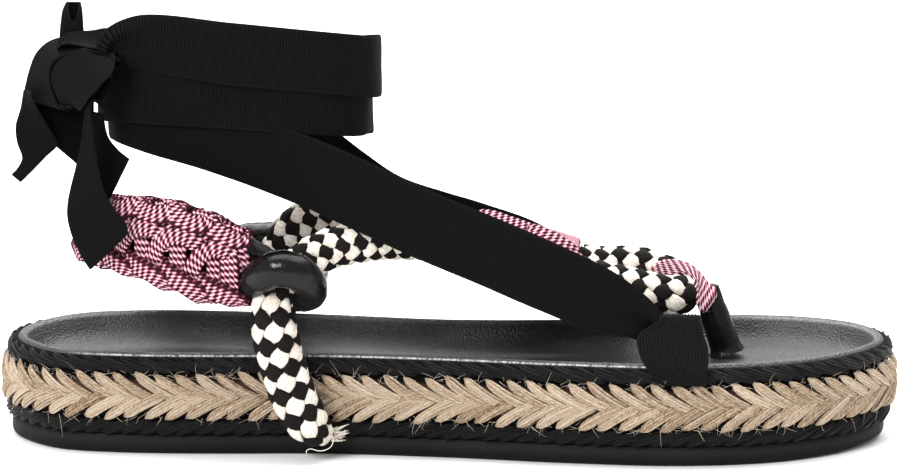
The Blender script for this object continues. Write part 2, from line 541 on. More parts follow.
RIM_XY, RIM_OUT, RIM_ALONG = outline()
PERIMETER = RIM_ALONG[-1]
ROUND = np.linspace(0, PERIMETER, RIM_CELLS, endpoint=False)


def end_share(x):
    """0 along the middle of the sole, rising to 1 at the toe; with -x, at the heel."""
    return np.clip((x - END_START) / (HALF_LENGTH - END_START), 0, 1) ** 2


def on_rim(s, inset, z):
    """Points on the sole's side: distance round it, inset from the outline, height."""
    s, inset, z = np.broadcast_arrays(np.asarray(s, float) % PERIMETER, inset, z)
    x, y = (
        np.interp(s, RIM_ALONG, at) - np.interp(s, RIM_ALONG, out) * inset
        for at, out in zip(RIM_XY.T, RIM_OUT.T)
    )
    x = x - HEEL_REACH * end_share(-x) * np.clip(1 - z / RIM_HEIGHT, 0, 1)
    return np.stack([x, y, z], axis=-1)


def rim_rings(section):
    """Rings round the sole through a section of insets and heights, and their map."""
    rings = np.stack([on_rim(ROUND, inset, z) for inset, z in section])
    return rings, grain_map(np.append(ROUND, PERIMETER), lengths(np.array(section))[:, None])


def fill_across(build, ring):
    """Strips across the sole between the two sides of a ring of points."""
    n = len(ring)
    start = build.add_points(ring)
    faces = [(0, 1, n - 1)] + [(k, k + 1, n - k - 1, n - k) for k in range(1, n // 2 - 1)]
    faces.append((n // 2 - 1, n // 2, n // 2 + 1))
    for face in faces:
        build.face([start + i for i in face], [ring[i, :2] + (0.0, FLAT_GRAIN) for i in face])


# ---- materials

class Value:
    """A number or vector in a material's node tree, with arithmetic that adds nodes."""

    def __init__(self, nodes, socket):
        self.nodes = nodes
        self.socket = socket

    def math(self, operation, *others):
        return self.nodes.node("Math", dict(enumerate((self, *others))), operation=operation)

    __add__ = partialmethod(math, "ADD")
    __sub__ = partialmethod(math, "SUBTRACT")
    __mul__ = partialmethod(math, "MULTIPLY")
    __pow__ = partialmethod(math, "POWER")
    __abs__ = partialmethod(math, "ABSOLUTE")
    positive = partialmethod(math, "MAXIMUM", 0.0)

    def map(self, low, high, to_low, to_high):
        return self.nodes.node("MapRange", dict(enumerate((self, low, high, to_low, to_high))))

    def split(self):
        made = self.nodes.node("SeparateXYZ", {0: self})
        return [Value(self.nodes, socket) for socket in made.socket.node.outputs]

    def scaled(self, scale):
        return self.nodes.node("VectorMath", {0: self, 1: scale}, operation="MULTIPLY")


class Nodes:
    """A material's node tree, with short calls to add to it."""

    def __init__(self, name, roughness, gloss):
        self.material = bpy.data.materials.new(name)
        self.material.use_nodes = True
        self.tree = self.material.node_tree
        self.shader = self.tree.nodes["Principled BSDF"]
        self.shader.inputs["Roughness"].default_value = roughness
        self.shader.inputs["Specular IOR Level"].default_value = gloss
        self.uv = self.node("UVMap", {}, uv_map="grain")
        self.place = self.node("TexCoord", {}, "Object")

    def put(self, socket, value):
        if isinstance(value, Value):
            self.tree.links.new(value.socket, socket)
        elif socket.type == "RGBA":
            socket.default_value = (*value, 1.0)
        else:
            socket.default_value = value

    def node(self, kind, inputs, output=0, **settings):
        """Adds a node with its settings and inputs, and gives one of its outputs."""
        made = self.tree.nodes.new("ShaderNode" + kind)
        for key, value in settings.items():
            setattr(made, key, value)
        for key, value in inputs.items():
            self.put(made.inputs[key], value)
        return Value(self, made.outputs[output])

    def join(self, x, y, z=0.0):
        return self.node("CombineXYZ", {0: x, 1: y, 2: z})

    def noise(self, vector, scale, detail=3.0, rough=0.55):
        inputs = {"Vector": vector, "Scale": scale, "Detail": detail, "Roughness": rough}
        return self.node("TexNoise", inputs, "Fac")

    def shade(self):
        return self.node("Attribute", {}, "Fac", attribute_name="shade")

    def ramp(self, value, stops):
        made = self.node("ValToRGB", {0: value})
        elements = made.socket.node.color_ramp.elements
        while len(elements) < len(stops):
            elements.new(0.5)
        for element, (place, colour) in zip(elements, stops):
            element.position = place
            element.color = (*colour, 1.0)
        return made

    def mix(self, factor, a, b):
        return self.node("Mix", {"Factor": factor, "A": a, "B": b}, "Result", data_type="RGBA")

    def finish(self, colour, height=None, depth=0.0, strength=1.0, roughness=None):
        """Sets the colour, and a bump of the given depth from the height."""
        inputs = {"Base Color": colour}
        if height is not None:
            bump = {"Strength": strength, "Distance": depth * M, "Height": height}
            inputs["Normal"] = self.node("Bump", bump)
        if roughness is not None:
            inputs["Roughness"] = roughness
        for key, value in inputs.items():
            self.put(self.shader.inputs[key], value)
        return self.material


def grey(value):
    return (value, value, value)


def fibre_material(name, stops, depth=0.2, gloss=0.1, roughness=0.85, twist=0.0):
    """Twisted fibres: fine streaks along the strand, each strand a shade of its own."""
    n = Nodes(name, roughness, gloss)
    along, round_it, _ = n.uv.split()
    streaks = n.noise(n.join(along * 0.16, round_it + along * twist), 3.4, 4.0, 0.65)
    tone = n.shade() * 0.5 + n.noise(n.uv, 0.16, 2.0) * 0.14
    return n.finish(n.ramp(tone + (streaks - 0.5) * 1.7, stops), streaks, depth)


def backing_material(name, dark, light, middle, half):
    """The inside of a plait, in the shade between its strands and darkest along its edges."""
    n = Nodes(name, 0.9, 0.1)
    _, span, _ = n.uv.split()
    streaks = n.noise(n.uv.scaled((0.5, 1.0, 1.0)), 1.3, 4.0, 0.6)
    edge = abs(span - middle).map(half - 3.7, half - 1.8, 0.0, 1.0)
    return n.finish(n.mix(edge, n.mix(streaks, dark, light), (0.003, 0.0025, 0.0022)), streaks, 0.3)


def leather_grain(n, pore_scale, pore_depth, crease_scale, crease_depth):
    """The leather's creases from 0 to 1, and the height of its pores and creases together."""
    pores = n.node("TexVoronoi", {"Vector": n.place, "Scale": pore_scale}, "Distance")
    creases = n.noise(n.place, crease_scale, 4.0, 0.6)
    return creases.map(0.35, 0.75, 0.0, 1.0), creases * crease_depth - pores * pore_depth


def uneven(n, roughness, spread):
    """Roughness that varies in soft patches."""
    return n.noise(n.place, 38.0, 3.0, 0.5).map(0.3, 0.7, roughness - spread, roughness + spread)


def leather_material():
    """The smooth leather of the rings and the toe post."""
    n = Nodes("leather_black", 0.25, 0.20)
    creased, height = leather_grain(n, 1000.0, 0.8, 160.0, 0.6)
    colour = n.mix(creased, (0.002, 0.002, 0.0022), (0.004, 0.004, 0.0042))
    return n.finish(colour, height, 0.08, 0.8, uneven(n, 0.25, 0.09))


def footbed_material():
    """Grained leather, scuffed along its folded edge and a little paler inside."""
    n = Nodes("leather_footbed", 0.40, 0.36)
    creased, height = leather_grain(n, 1500.0, 1.8, 900.0, 0.12)
    colour = n.mix(creased, (0.006, 0.006, 0.0062), grey(0.016))
    x, _, _ = n.place.split()
    along, span, _ = n.uv.split()
    middle = x.map(-0.112, -0.100, 0.0, 1.0) * x.map(0.060, 0.085, 1.0, 0.0)
    broken = n.noise(n.join(along * 0.9, span * 0.4), 1.0, 4.0, 0.7)
    # Scuffed line along the fold, in broken dashes
    near = (abs(span - RIM_LINE) * -2.3 + 1.0).positive()
    colour = n.mix(near * broken.map(0.40, 0.57, 0.08, 1.0) * middle, colour, (0.70, 0.69, 0.68))
    # Sheen on the crest, stronger round both ends
    crest = (abs(span - CREST_LINE) * -1.1 + 1.0).positive()
    ends = x.map(-0.112, -0.090, 1.0, 0.25).math("MAXIMUM", x.map(0.055, 0.090, 0.25, 1.0))
    colour = n.mix(crest * ends * broken.map(0.3, 0.6, 0.5, 1.0), colour, grey(0.20))
    # Paler along the foot of the inside wall, and towards both ends
    worn = span.map(13.0, 19.0, 0.0, 0.035) * span.map(24.0, 30.0, 1.0, 0.0)
    colour = n.mix(worn * middle, colour, grey(0.9))
    rise = x.map(-0.120, -0.060, 0.042, 0.0).math("MAXIMUM", x.map(0.060, 0.110, 0.0, 0.035))
    colour = n.mix(rise, colour, grey(0.9))
    return n.finish(colour, height, 0.16, 0.8, uneven(n, 0.40, 0.03))


def rubber_material():
    """Matt rubber, paler where its side turns over to the upper edge."""
    n = Nodes("outsole_rubber", 0.55, 0.12)
    specks = n.noise(n.place, 900.0)
    _, _, z = n.place.split()
    colour = n.mix(n.noise(n.place, 40.0).map(0.3, 0.7, 0.0, 1.0), grey(0.003), grey(0.006))
    pale = z.map(0.0022, 0.0040, 0.0, 1.0) * z.map(0.0046, 0.0058, 0.005, 0.0)
    colour = n.mix(pale, colour, grey(0.9))
    return n.finish(colour, specks, 0.08, 0.6, specks.map(0.3, 0.7, 0.52, 0.75))


def core_material():
    n = Nodes("core_fill", 0.95, 0.1)
    weave = n.noise(n.place, 500.0)
    return n.finish(n.mix(weave, (0.012, 0.010, 0.009), (0.05, 0.035, 0.025)), weave, 0.2)


def cord_material(name, dash, border):
    """Flat knitted cord: pale pink slanted stitches, with the burgundy core showing in dashes between."""
    n = Nodes(name, 0.75, 0.15)
    along, across, _ = n.uv.split()
    column = across * (1 / STITCH_WIDTH)
    inside = (column + 64.0).math("FRACT")
    row = along * (1 / STITCH_LENGTH) + (inside - 0.5) * STITCH_SLANT
    pick = n.node("TexWhiteNoise", {"Vector": n.join(column.math("FLOOR"), row.math("FLOOR"), n.shade())})
    beat = (row * (2 * math.pi)).math("COSINE")
    crown = (inside * math.pi).math("SINE").positive()
    shown = beat.positive() * crown ** 0.8 * pick.map(0.0, 1.0, 0.55, 0.90)
    stroke = (beat * -1.0).positive() * crown ** 0.35
    fuzz = n.noise(n.uv.scaled((1.2, 1.6, 1.0)), 3.0)
    gap = shown - stroke * 0.45 + dash + (fuzz - 0.5) * 0.5 + abs(across).map(2.05, 2.65, 0.0, border)
    colour = n.ramp(gap, [
        (0.0, (0.80, 0.58, 0.62)), (0.22, (0.62, 0.31, 0.37)), (0.46, (0.30, 0.070, 0.12)),
        (0.68, (0.10, 0.010, 0.028)), (0.92, (0.015, 0.002, 0.005)),
    ])
    return n.finish(colour, fuzz * 0.3 - gap, 0.5)


def ribs(distance, pitch):
    """Rounded ribs from 0 to 1, by distance across them."""
    return (distance * (2 * math.pi / pitch)).math("SINE") * 0.5 + 0.5


def ribbon_material(name, dark, light, gloss=0.05):
    """Grosgrain: fine ribs across the ribbon, and a plain edge."""
    n = Nodes(name, 0.8, gloss)
    along, across, _ = n.uv.split()
    rib = ribs(along + n.noise(n.uv, 0.35, 2.0) * 0.35, 0.80)
    threads = n.noise(n.uv.scaled((1.0, 3.5, 1.0)), 1.7)
    crown = (rib ** 1.2).math("MAXIMUM", abs(across).map(9.0, 9.3, 0.0, 0.6))
    colour = n.mix(crown * threads.map(0.3, 0.7, 0.4, 1.0), dark, light)
    return n.finish(colour, crown + threads * 0.35, 0.12, 0.7)


def webbing_material():
    """Elastic webbing: wavy ribs along it, with lighter threads between them."""
    n = Nodes("webbing", 0.75, 0.1)
    along, across, _ = n.uv.split()
    rib = ribs(across + (along * (2 * math.pi / 3.4)).math("SINE") * 0.05, 0.92)
    threads = n.noise(n.uv.scaled((3.0, 1.0, 1.0)), 1.4)
    colour = n.mix(rib ** 2.0 * threads, grey(0.0025), (0.015, 0.015, 0.0155))
    return n.finish(colour, rib + threads * 0.3, 0.35)


def floor_material():
    n = Nodes("studio_floor", 0.9, 0.5)
    return n.finish(n.mix(n.noise(n.place, 3.0, 2.0), grey(0.92), grey(0.94)))


JUTE = fibre_material("jute_natural", [
    (0.0, (0.05, 0.025, 0.012)), (0.18, (0.19, 0.12, 0.072)), (0.34, (0.36, 0.275, 0.19)),
    (0.54, (0.48, 0.385, 0.295)), (0.85, (0.62, 0.54, 0.44)),
], depth=0.3, twist=0.45)
JUTE_BACK = backing_material("jute_shadow", (0.03, 0.02, 0.014), (0.14, 0.09, 0.06), 8.7, 6.9)
BLACK_JUTE = fibre_material("jute_black", [
    (0.0, grey(0.001)), (0.45, (0.0030, 0.0030, 0.0034)), (0.72, (0.012, 0.012, 0.013)),
    (1.0, (0.12, 0.12, 0.125)),
], depth=0.5, gloss=0.2, roughness=0.5, twist=0.45)
BLACK_BACK = backing_material("jute_black_shadow", grey(0.002), (0.006, 0.005, 0.005), 5.0, 6.9)
CREAM = fibre_material("rope_cream", [
    (0.0, (0.42, 0.34, 0.27)), (0.22, (0.64, 0.57, 0.49)), (0.45, (0.78, 0.73, 0.66)),
    (0.9, (0.86, 0.83, 0.78)),
])
DARK = fibre_material("rope_black", [
    (0.0, (0.002, 0.0015, 0.0015)), (0.45, (0.006, 0.0045, 0.004)), (0.8, (0.022, 0.015, 0.012)),
    (1.0, (0.10, 0.065, 0.05)),
], gloss=0.15)
LEATHER = leather_material()
INSOLE = footbed_material()
RUBBER = rubber_material()
CORE = core_material()
CORD = cord_material("braided_cord", 0.46, 0.45)
PALE_CORD = cord_material("braided_cord_pale", 0.34, 0.0)
RIBBON = ribbon_material("ribbon_black", (0.0009, 0.0009, 0.0010), (0.0076, 0.0076, 0.0077))
TAIL = ribbon_material("ribbon_tail", (0.0018, 0.0018, 0.0019), (0.0046, 0.0046, 0.0047))
KNOT = ribbon_material("ribbon_knot", (0.0028, 0.0028, 0.0029), (0.0080, 0.0080, 0.0082))
SHADED = ribbon_material("ribbon_shaded", grey(0.001), (0.0025, 0.0025, 0.0026), gloss=0.03)
WEBBING = webbing_material()


# ---- stage

def make_camera():
    camera = add_object("camera", bpy.data.cameras.new("camera"))
    az, el = math.radians(VIEW_AZIMUTH), math.radians(VIEW_ELEVATION)
    away = (math.sin(az) * math.cos(el), -math.cos(az) * math.cos(el), math.sin(el))
    camera.location = [(t + VIEW_DISTANCE * a) * M for t, a in zip(VIEW_TARGET, away)]
    camera.rotation_euler = (math.pi / 2 - el, 0.0, az)
    camera.data.lens = LENS
    camera.data.sensor_width = SENSOR
    camera.data.clip_start = 0.05
    bpy.context.scene.camera = camera


def add_light(name, place, size, power):
    light = bpy.data.lights.new(name, "AREA")
    light.shape = "RECTANGLE"
    light.size, light.size_y = size
    light.energy = power
    lamp = add_object(name, light)
    lamp.location = place
    x, y, z = np.array(place) - LIT_POINT
    lamp.rotation_euler = (math.acos(z / math.hypot(x, y, z)), 0, math.atan2(y, x) + math.pi / 2)


def make_stage():
    mesh = bpy.data.meshes.new("studio_floor")
    corners = [(x * FLOOR_HALF, y * FLOOR_HALF, 0) for x, y in ((-1, -1), (1, -1), (1, 1), (-1, 1))]
    mesh.from_pydata(corners, [], [(0, 1, 2, 3)])
    mesh.materials.append(floor_material())
    add_object("studio_floor", mesh)
    world = bpy.data.worlds.new("studio")
    world.use_nodes = True
    background = world.node_tree.nodes["Background"]
    background.inputs["Color"].default_value = (1.0, 1.0, 1.0, 1.0)
    background.inputs["Strength"].default_value = 0.85
    bpy.context.scene.world = world
    bpy.context.scene.view_settings.view_transform = "Standard"
    for light in LIGHTS:
        add_light(*light)


# ---- sole

def make_outsole():
    build = Build()
    rings, uv = rim_rings(OUTSOLE)
    rings[..., 2] += TOE_SPRING * end_share(rings[..., 0]) * (1 - rings[..., 2] / OUTSOLE_TOP)
    build.grid(rings, uv, caps=False)
    bottom = on_rim(ROUND, *OUTSOLE[0])
    bottom[:, 2] += TOE_SPRING * end_share(bottom[:, 0])
    fill_across(build, bottom)
    fill_across(build, rings[-1])
    add_tread(build)
    build.piece("outsole_rubber", [RUBBER], ["outsole"], sharp=45)


def add_tread(build):
    """Shallow ribs across the underside."""
    edge = on_rim(ROUND, TREAD_INSET, 0.0)
    sides = edge[: RIM_CELLS // 2], edge[RIM_CELLS // 2 :][::-1]
    for x in np.arange(TREAD_MARGIN - HALF_LENGTH, HALF_LENGTH - TREAD_MARGIN, TREAD_PITCH):
        lift = TOE_SPRING * end_share(x)
        far = x + TREAD_WIDTH
        section = [(x, lift + 0.6), (x + 0.3, lift), (far - 0.3, lift), (far, lift + 0.6)]
        ends = [np.interp(x, side[:, 0], side[:, 1]) for side in sides]
        rows = np.array([[(px, y, pz) for px, pz in section] for y in ends])
        build.grid(rows, rows[..., :2])


def leaf(build, s0, reach, z0, z1, tone, *, inset, wide, thick, spread, rings):
    """One strand of a plait: a bundle of yarns, from its pointed tip at an edge to where it dives in."""
    t = np.linspace(0, 1, rings)
    swell = np.minimum(1.0, (t / 0.17) ** 0.5) * np.minimum(1.0, ((1.0 - t) / 0.16) ** 0.5)
    s = s0 + reach * t
    z = z0 + (z1 - z0) * (t + 0.10 * np.sin(math.pi * t))
    dive = 1 - np.minimum(1.0, (t + 0.12) / 0.4) * np.minimum(1.0, (1.05 - t) / 0.35)
    centre = on_rim(s, inset + DIVE * dive, z)
    tangent = ahead(centre)
    out = unit(on_rim(s, inset - 5.0, z) - on_rim(s, inset, z))
    across = unit(np.cross(tangent, out))
    out = np.cross(across, tangent)
    for k in range(YARNS):
        place = (k + 0.5) / YARNS * 2 - 1
        drift = rng.uniform(-0.25, 0.25)
        side = (place + drift * (t - 0.5)) * wide / 2 * (0.12 + 0.88 * swell)
        crown = thick * 0.5 * math.sqrt(1 - place**2 * 0.85) + rng.uniform(-0.28, 0.28)
        line = centre + across * side[:, None] + out * (crown * (0.25 + 0.75 * swell))[:, None]
        radius = wide / YARNS * (0.26 + 0.37 * swell)
        shade = np.clip(tone - 0.17 * place**2 + rng.uniform(-spread, spread), 0, 1)
        tube(build, np.column_stack([line, radius]), 5, hint=out[0], tone=shade, start=rng.uniform(0, 400))


def hairs(build, count, z_low, z_high, inset, long, rise=(-0.8, 1.4), radius=0.08, shades=(1.1, 1.7)):
    """Loose fibres standing off an edge of a plait."""
    t = np.linspace(0, 1, 6)[:, None]
    for _ in range(count):
        s = rng.uniform(0, PERIMETER)
        base = on_rim(s, inset, rng.uniform(z_low, z_high))
        length = long * rng.uniform(0.3, 1.0) ** 1.6
        out = unit(on_rim(s, inset - 4, base[2]) - base)
        round_way = np.array([-out[1], out[0], 0.0])
        way = out * rng.uniform(0.1, 1.0) + round_way * rng.uniform(-1.6, 1.6)
        way = unit(way + (0, 0, rng.uniform(*rise)))
        curl = unit(rng.normal(size=3)) * rng.uniform(0.2, 0.6)
        line = base + way * length * t + curl * length * t**2
        line[:, 2] = np.maximum(line[:, 2], LOWEST_HAIR)
        tube(build, np.column_stack([line, radius * (1 - 0.7 * t)]), 3, tone=rng.uniform(*shades))


def make_jute():
    """A wide plait: strands slanting in from both edges, and diving at the middle."""
    build = Build()
    build.grid(*rim_rings(JUTE_BACKING), caps=False, slot=1)
    count = round(PERIMETER / JUTE_PITCH)
    for i in range(count):
        s = i * PERIMETER / count + rng.uniform(-0.35, 0.35)
        for tip, middle, shift in zip(JUTE_TIPS, JUTE_MIDDLE, (0, JUTE_PITCH / 2)):
            reach = JUTE_REACH + rng.uniform(-1.0, 1.0)
            z = tip + rng.uniform(-0.6, 0.6)
            leaf(build, s + shift, reach, z, middle, rng.uniform(0.50, 0.84), **JUTE_LEAF)
    hairs(build, 620, 23.5, 25.0, inset=1.4, long=5.0)
    hairs(build, 560, 11.4, 13.4, inset=1.4, long=5.0, rise=(-1.4, 0.6))
    hairs(build, 60, 13.0, 25.0, inset=1.0, long=6.0)
    build.piece("jute_plait", [JUTE, JUTE_BACK], ["braid_jute"])


def make_black_braid(name, node, low, high, down, inset, shades):
    """A single row of slanting strands, from the top down or from the bottom up."""
    build = Build()
    deep, bottom, top = inset + 0.9, low + 0.1, high - 0.1
    backing = [(4.7, bottom), (deep, bottom), (inset + 0.6, (low + high) / 2), (deep, top), (4.7, top)]
    build.grid(*rim_rings(backing), caps=False, slot=1)
    z0, z1 = (high - 0.4, low + 0.5) if down else (low + 0.4, high - 0.5)
    count = round(PERIMETER / BLACK_PITCH)
    for i in range(count):
        s = i * PERIMETER / count + rng.uniform(-0.3, 0.3)
        reach = BLACK_REACH + rng.uniform(-1, 1)
        leaf(build, s, reach, z0, z1, rng.uniform(*shades), inset=deep, **BLACK_LEAF)
    hairs(build, 260, low, high, inset=inset + 0.2, long=5.0, radius=0.06, shades=(0.3, 1.0))
    build.piece(name, [BLACK_JUTE, BLACK_BACK], [node])


def make_footbed():
    build = Build()
    section = smooth([(inset, z, 0.0) for inset, z in FOOTBED], 0.55)[:, :2]
    rings, uv = rim_rings(section)
    # Small puckers where the leather is drawn in over the rim's foot
    gather = np.sin(ROUND / 1.35 + 0.6 * np.sin(ROUND / 7.0)) + 0.5 * np.sin(ROUND / 0.83 + 1.0)
    depth = 0.10 * np.exp(-((section[:, 1] - 27.0) / 1.5) ** 2) * (section[:, 0] < 5.0)
    outward = unit(on_rim(ROUND, -5.0, 0.0) - on_rim(ROUND, 0.0, 0.0))
    rings += outward * (depth[:, None] * gather)[..., None]
    build.grid(rings, uv, caps=False)
    fill_across(build, rings[-1])
    underside = on_rim(ROUND, *FOOTBED[0])
    underside[:, 2] = FOOTBED_UNDERSIDE
    fill_across(build, underside)
    build.piece("leather_insole", [INSOLE], ["footbed"])


# ---- upper

def make_rope():
    """A sleeve of twelve strands, six turning each way and each passing over and under the others."""
    build = Build()
    route = smooth(ROPE, 1.25)
    centre, radius = route[:, :3], route[:, 3]
    size = radius / ROPE_RADIUS
    side, up = axes(centre, (0, 1, 0))
    along = lengths(centre)
    lead = np.interp(along, *zip(*ROPE_LEADS))
    phase = 2 * math.pi * np.concatenate([[0.0], np.cumsum(np.diff(along) / lead[1:])])
    weave = squared(np.sin(ROPE_STRANDS * phase), 0.6)
    profile = circle(12)
    wide, thick = squared(np.cos(profile), 0.8), squared(np.sin(profile), 0.9)
    for way, first, slot in ((1, 0.5, 0), (-1, 1.0, 1)):
        over = way * weave
        half = STRAND_HALF * (0.82 + 0.18 * over) * size
        for k in range(ROPE_STRANDS):
            angle = way * phase + (k + first) * STRAND_GAP
            outward = side * np.cos(angle)[:, None] + up * np.sin(angle)[:, None]
            line = centre + outward * (radius - STRAND_DEPTH + STRAND_WEAVE * over * size)[:, None]
            across = unit(np.cross(outward, ahead(line)))
            points = line[:, None] + across[:, None] * (half[:, None] * wide)[..., None]
            points += outward[:, None] * (size[:, None] * thick)[..., None]
            uv = grain_map(lengths(line)[:, None] + 37 * k, np.linspace(0, 10.0, len(profile) + 1))
            build.grid(points, uv, tone=0.5 + 0.12 * math.sin(2.1 * k + way), slot=slot)
    tube(build, np.column_stack([centre, radius * 0.68]), 16, tone=0.2, slot=1)
    add_fray(build)
    build.piece("instep_rope", [CREAM, DARK], ["rope"])


def add_fray(build):
    """The rope's frayed outer end, and a loose thread beside it."""
    t = np.linspace(0, 1, 5)[:, None]
    for _ in range(46):
        way = unit(np.array([1.0, rng.uniform(-0.5, 0.5), rng.uniform(-0.4, 0.4)]))
        offset = rng.uniform(-1.6, 1.6, 3)
        line = ROPE[0][:3] + (offset + way * rng.uniform(1.5, 4.6) * t + rng.normal(size=3) * 0.5 * t**2)
        line[:, 1] = np.minimum(line[:, 1], FRAY_INNERMOST)
        line[:, 2] = np.maximum(line[:, 2], LOWEST_HAIR)
        tube(build, np.column_stack([line, 0.24 * (1 - 0.6 * t)]), 4, tone=rng.uniform(0.3, 0.9))
    thread = smooth(THREAD, 0.5)
    tube(build, np.column_stack([thread, np.full(len(thread), 0.12)]), 5, tone=0.9)


def make_ring(name, node, rows):
    build = Build()
    route = smooth(rows, 1.2)
    end = lengths(route)[-1]

    def creases(along, angle):
        fade = np.clip(np.minimum(along, end - along) / 4, 0, 1)
        fine = np.sin(along * 1.7 + 2 * np.cos(angle))
        return 0.10 * fade * (fine + 0.6 * np.sin(along * 0.9 + 3 * np.sin(angle)))

    tube(build, route, 28, shape=creases)
    build.piece(name, [LEATHER], [node], sharp=60)


def make_post():
    build = Build()

    def seam(along, angle):
        ridge = 0.45 * np.exp(-(((angle - 2.2) / 0.22) ** 2))
        skirt = 0.9 * np.exp(-along / 0.9) * (0.7 + 0.3 * np.sin(9 * angle))
        return ridge + skirt + 0.02 * np.sin(along * 2.3)

    tube(build, smooth(POST, 0.7), 36, hint=(1, 0, 0), shape=seam)
    build.piece("toe_post_leather", [LEATHER], ["toe_post"], sharp=60)


def flat_cord(build, line, across, width=CORD_WIDTH):
    """A flat cord along a line, in a shade of its own."""
    route = np.column_stack([line, across, np.full(len(line), width)])
    shade = rng.uniform(0, 1)
    strip(build, route, CORD_THICKNESS, lobes=4, tone=shade, start=rng.uniform(0, 60))


BAND_ROUTE = smooth(HEEL_BAND, 0.5)
BAND_ALONG = lengths(BAND_ROUTE)
BAND_END = BAND_ALONG[-1]


def band_at(u):
    """The heel band's middle and size, by distance from its outer end."""
    columns = [np.interp(u, BAND_ALONG, column) for column in BAND_ROUTE.T]
    return np.stack(columns[:3], axis=-1), columns[3]


def on_band(u, v, w):
    """Points by distance from the outer end of the heel band, height above its middle, and outward."""
    centre, size = band_at(u)
    way = unit((band_at(u + 0.5)[0] - band_at(u - 0.5)[0])[..., :2])
    outward = np.stack([way[..., 1], -way[..., 0], np.zeros_like(u)], axis=-1)
    return centre + outward * (-w * size)[..., None] + np.array([0, 0, 1.0]) * (v * size)[..., None]


def band_cord(build, rows, width=CORD_WIDTH):
    """A flat cord lying on the heel band, through rows of distance along it, height and outward."""
    fine = smooth(rows, 0.8)
    fine = fine[(fine[:, 0] > 0.5) & (fine[:, 0] < BAND_END - 1.2)]
    if len(fine) < 5:
        return
    u, v, w = fine.T
    line = on_band(u, v, w)
    facing = unit(on_band(u, v + 40 * v / BAND_HALF_HEIGHT**2, w + 40 * w / BAND_HALF_THICKNESS**2) - line)
    flat_cord(build, line, unit(np.cross(facing, ahead(line))), width)


def make_heel_band():
    build = Build()
    u = np.arange(1.5, BAND_END - 0.8, 1.0)
    for v in (CORE_HEIGHT, -CORE_HEIGHT):
        line = on_band(u, np.full_like(u, v), np.zeros_like(u))
        tube(build, np.column_stack([line, CORE_RADIUS * band_at(u)[1]]), 18, slot=1)
    first = np.interp(-KNOT_FIRST_X, -BAND_ROUTE[:40, 0], BAND_ALONG[:40])
    for k in range(-1, int((BAND_END - first - 4) / KNOT_PITCH) + 1):
        u = first + KNOT_PITCH * k
        # Beside the ring there is only a knot's foot and top
        strands = KNOT_STRANDS if k >= 0 else KNOT_STRANDS[2:]
        for face in (1, -1):
            shift, lift = rng.uniform(-0.25, 0.25, 2)
            for rows, width in strands:
                band_cord(build, [(u - a + shift, v + lift, w * face) for a, v, w in rows], width)
    places = np.arange(2.0, BAND_END - 1.5, 4.0)
    for face in (1, -1):
        band_cord(build, [(u, LONG_CORD[0] + 0.3 * math.sin(u), LONG_CORD[1] * face) for u in places])
        for rows, width in BAND_END_CORDS:
            band_cord(build, [(u, v, w * face) for u, v, w in rows], width)
    build.piece("heel_band_knots", [CORD, LEATHER], ["heel_band"], sharp=70)


def make_toe_cord():
    build = Build()
    strip(build, smooth(between(TOE_CORD), 0.8), CORD_THICKNESS, lobes=4, square=False)
    build.piece("toe_cord_wrap", [PALE_CORD], ["toe_cord"], sharp=70)


def make_instep_knot():
    build = Build()
    for top, bottom, tall in WRAPS:
        rows = []
        for a in np.linspace(0, 2 * math.pi, 33):
            c, s = math.cos(a), math.sin(a)
            x = top + (bottom - top) * (1 - c) / 2
            z, y, half = (np.interp(x, *table) for table in (INSTEP_HEIGHT, INSTEP_MIDDLE, INSTEP_HALF))
            y += s * tall + math.copysign(half, s) * min(1.0, abs(s) * 3)
            rows.append((x, y, z + c * tall, 1.0, 0.0, -0.3))
        route = smooth(rows, 0.9)
        flat_cord(build, route[:, :3], route[:, 3:])
    for rows in KNOT_ENDS:
        route = smooth(smooth(rows, 0.6), 0.9)
        flat_cord(build, route[:, :3], route[:, 3:], 5.8)
    build.piece("instep_cord_knot", [CORD], ["instep_knot"], sharp=70)


def inner_loop():
    """The inner webbing tab: the outer one mirrored, moved and turned to the inner edge."""
    rows = []
    for x, y, z, width in OUTER_LOOP:
        forward, inward = x - OUTER_LOOP_AT[0], y - OUTER_LOOP_AT[1]
        turned_x = INNER_LOOP_AT[0] + forward + inward * INNER_LOOP_SLOPE
        turned_y = INNER_LOOP_AT[1] - inward + forward * INNER_LOOP_SLOPE
        rows.append((turned_x, turned_y, z, width))
    return rows


def make_web_loop(name, node, rows, slope):
    build = Build()

    def threads(along, u):
        return 0.16 * np.sin(u * 40 + 1.2 * np.sin(along * 1.1))

    route = smooth([(x, y, z, 1.0, slope, 0.0, width) for x, y, z, width in rows], 0.8)
    strip(build, route, 1.2, cells=40, square=False, wave=threads)
    build.piece(name, [WEBBING], [node], sharp=60)


def turn_row(angle, height, outside, width):
    """A row of an upright ribbon, at a distance outside the ankle's oval."""
    a = math.radians(angle)
    x, y = (
        centre + (half + outside) * squared(wave, 2 / ANKLE_ROUNDNESS)
        for wave, centre, half in zip((math.cos(a), math.sin(a)), ANKLE_CENTRE, ANKLE_HALF)
    )
    return (x, y, height, 0.0, 0.0, 1.0, width)


def undulate(depth, long):
    """A gentle wave along a ribbon, stronger at its edges."""
    def wave(along, u):
        return depth * (np.sin(along / long + 0.9 * u) * (0.3 + 0.7 * np.abs(u)) + 0.15 * np.sin(along / 3.1))

    return wave


def make_tie(name, node, rows, long):
    build = Build()
    route, wave = smooth(rows, 1.0), undulate(0.35, long)
    strip(build, route, RIBBON_THICKNESS, cells=28, full=RIBBON_WIDTH, pleats=2, wave=wave)
    build.piece(name, [RIBBON], [node], sharp=60)


